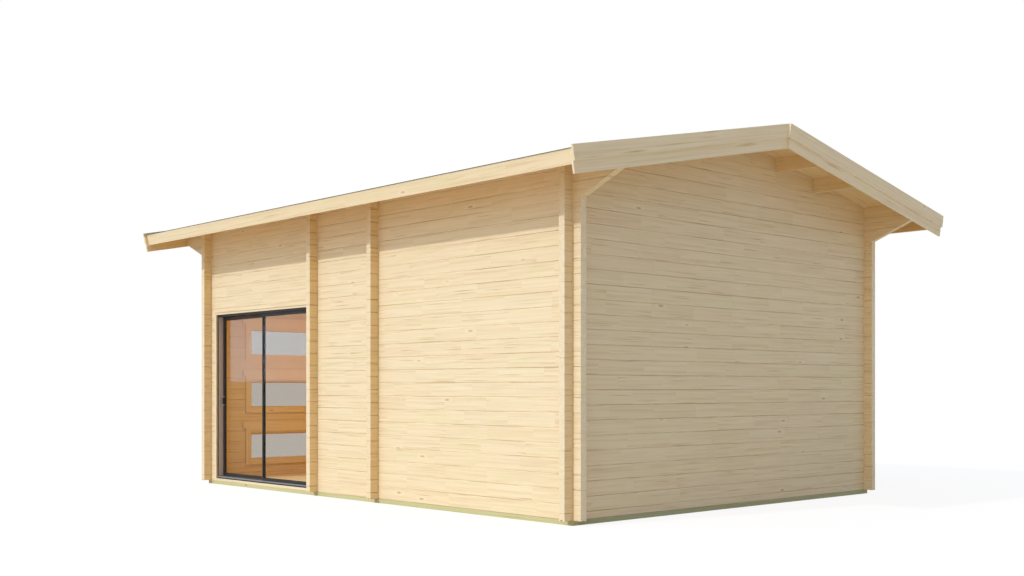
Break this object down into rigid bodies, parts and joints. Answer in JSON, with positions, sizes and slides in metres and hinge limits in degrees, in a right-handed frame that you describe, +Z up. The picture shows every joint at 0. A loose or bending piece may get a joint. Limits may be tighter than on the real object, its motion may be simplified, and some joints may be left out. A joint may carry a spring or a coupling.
{
  "type": "log cabin",
  "caption": "Log cabin with notched corners, a low gable roof with deep overhangs, cross walls and a glazed sliding door in its front.",
  "frame": {"origin": "ground level under the middle of the house", "axes": "+X along the house, away from the end with the door; -Y is the front; +Z up"},
  "size_m": [7.7088, 6.042, 3.7922],
  "materials": {
    "log_wood": "planed, unpainted",
    "trim_wood": "planed, unpainted",
    "floor_wood": "planed, unpainted",
    "treated_wood": "pressure treated, sawn",
    "door_metal": "dark powder coat, matt",
    "handle_steel": "satin",
    "glass": "clear",
    "roof_felt": "mineral felt"
  },
  "bodies": {
    "house": {"foundation_long_beams": "treated_wood", "foundation_cross_beams": "treated_wood", "floor_joists": "treated_wood", "floor_left_room": "floor_wood", "floor_middle_room": "floor_wood", "floor_right_room": "floor_wood", "doorway_thresholds": "floor_wood", "front_wall_left_of_door": "log_wood", "front_wall_right_of_door": "log_wood", "door_lintel_log": "log_wood", "front_wall_above_door": "log_wood", "back_wall": "log_wood", "right_gable_wall": "log_wood", "left_gable_wall": "log_wood", "left_gable_window_piers": "log_wood", "left_partition": "log_wood", "right_partition": "log_wood", "door_lining": "trim_wood", "door_frame_jambs": "door_metal", "door_frame_head": "door_metal", "door_frame_threshold": "door_metal", "fixed_panel_frame": "door_metal", "fixed_panel_glass": "glass", "window_frames": "trim_wood", "window_glass": "glass", "window_casings_inside": "trim_wood", "window_casings_outside": "trim_wood", "ridge_purlin": "trim_wood", "front_purlins": "trim_wood", "back_purlins": "trim_wood", "front_roof_boards": "trim_wood", "back_roof_boards": "trim_wood", "front_roof_felt": "roof_felt", "back_roof_felt": "roof_felt", "ridge_felt_strip": "roof_felt", "front_fascia": "trim_wood", "back_fascia": "trim_wood", "front_upper_bargeboards": "trim_wood", "front_lower_bargeboards": "trim_wood", "back_upper_bargeboards": "trim_wood", "back_lower_bargeboards": "trim_wood"},
    "sliding_panel": {"sliding_panel_frame": "door_metal", "sliding_panel_glass": "glass", "sliding_panel_carriages": "handle_steel", "door_handle": "handle_steel"}
  },
  "joints": [
    {"name": "door_slide", "type": "slide", "parent": "house", "child": "sliding_panel", "axis": [1, 0, 0], "range_m": [0, 0.9]}
  ]
}
